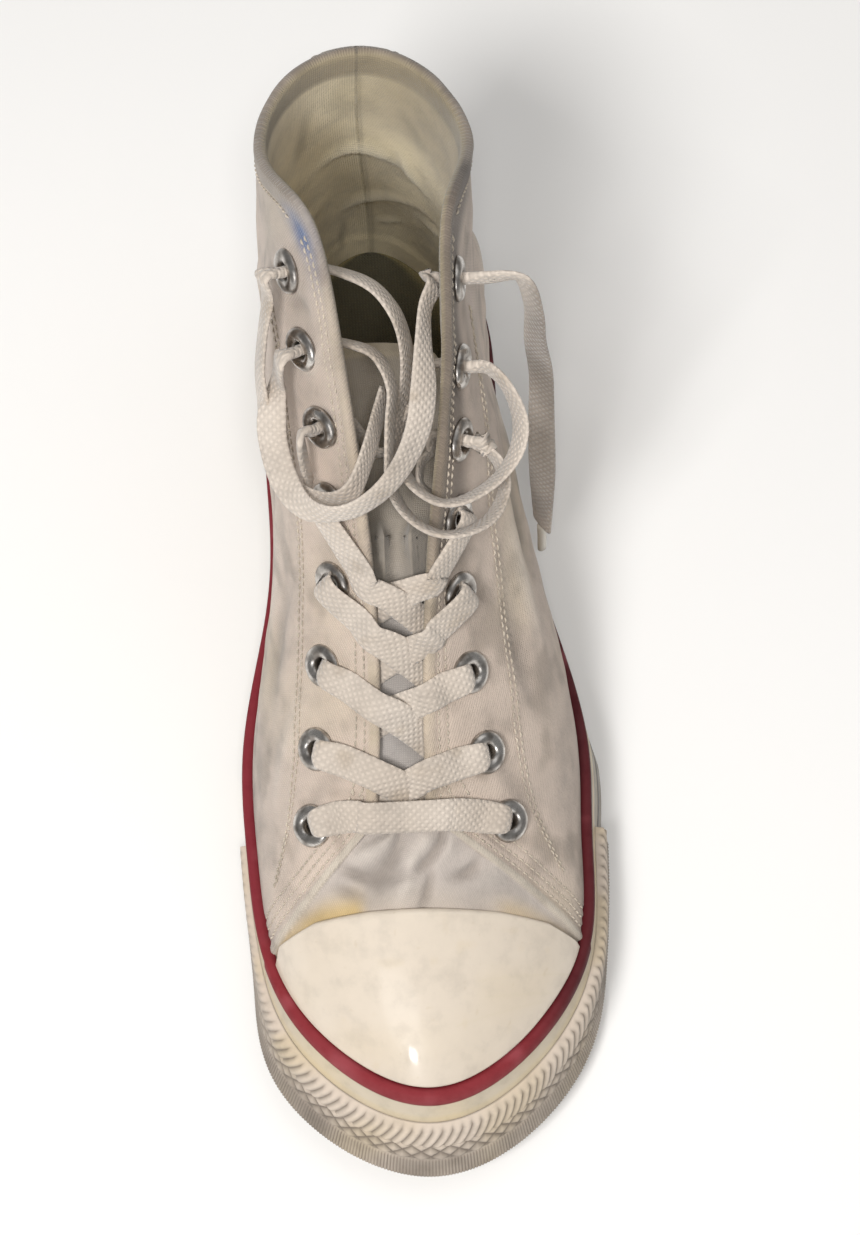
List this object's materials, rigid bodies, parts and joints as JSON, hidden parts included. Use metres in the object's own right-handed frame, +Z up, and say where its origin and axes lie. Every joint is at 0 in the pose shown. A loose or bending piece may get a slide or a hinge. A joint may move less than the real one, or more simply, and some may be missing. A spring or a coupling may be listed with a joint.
{
  "type": "canvas high-top sneaker",
  "caption": "Worn-out off-white canvas high-top sneaker with a rubber toe cap, ribbed rubber bumper, metal eyelets and loose flat laces, standing empty.",
  "frame": {"origin": "on the ground, under the middle of the shoe's bounding box without its loose laces", "axes": "+Z up, the toe points to -Y, the outer (lateral) side of this left shoe faces +X"},
  "size_m": [0.1064, 0.2842, 0.1748],
  "materials": {
    "canvas_upper": "worn off-white canvas, stained",
    "cream_rubber": "smooth yellowed cream rubber",
    "foxing_rubber": "matt off-white rubber, grimy",
    "outsole_gum_rubber": "matt gum rubber",
    "insole_cloth": "dark stained cloth",
    "tongue_canvas": "worn canvas",
    "eyelet_metal": "dull silver",
    "lace_cloth": "woven beige cotton",
    "lace_tip_plastic": "clouded",
    "heel_strip_canvas": "worn canvas"
  },
  "bodies": {
    "root": {"upper": "canvas_upper", "toe_cap": "cream_rubber", "foxing": "foxing_rubber", "toe_bumper": "foxing_rubber", "outsole": "outsole_gum_rubber", "insole": "insole_cloth", "tongue": "tongue_canvas", "heel_strip": "heel_strip_canvas", "lace_tip": "lace_tip_plastic", "lace_end_one": "lace_cloth", "lace_end_two": "lace_cloth", "eyelet_lateral_1": "eyelet_metal", "eyelet_lateral_2": "eyelet_metal", "eyelet_lateral_3": "eyelet_metal", "eyelet_lateral_4": "eyelet_metal", "eyelet_lateral_5": "eyelet_metal", "eyelet_lateral_6": "eyelet_metal", "eyelet_lateral_7": "eyelet_metal", "eyelet_lateral_8": "eyelet_metal", "eyelet_medial_1": "eyelet_metal", "eyelet_medial_2": "eyelet_metal", "eyelet_medial_3": "eyelet_metal", "eyelet_medial_4": "eyelet_metal", "eyelet_medial_5": "eyelet_metal", "eyelet_medial_6": "eyelet_metal", "eyelet_medial_7": "eyelet_metal", "eyelet_medial_8": "eyelet_metal", "lace_bar_1": "lace_cloth", "lace_cross_2": "lace_cloth", "lace_cross_3": "lace_cloth", "lace_cross_4": "lace_cloth", "lace_cross_5": "lace_cloth"}
  },
  "joints": []
}
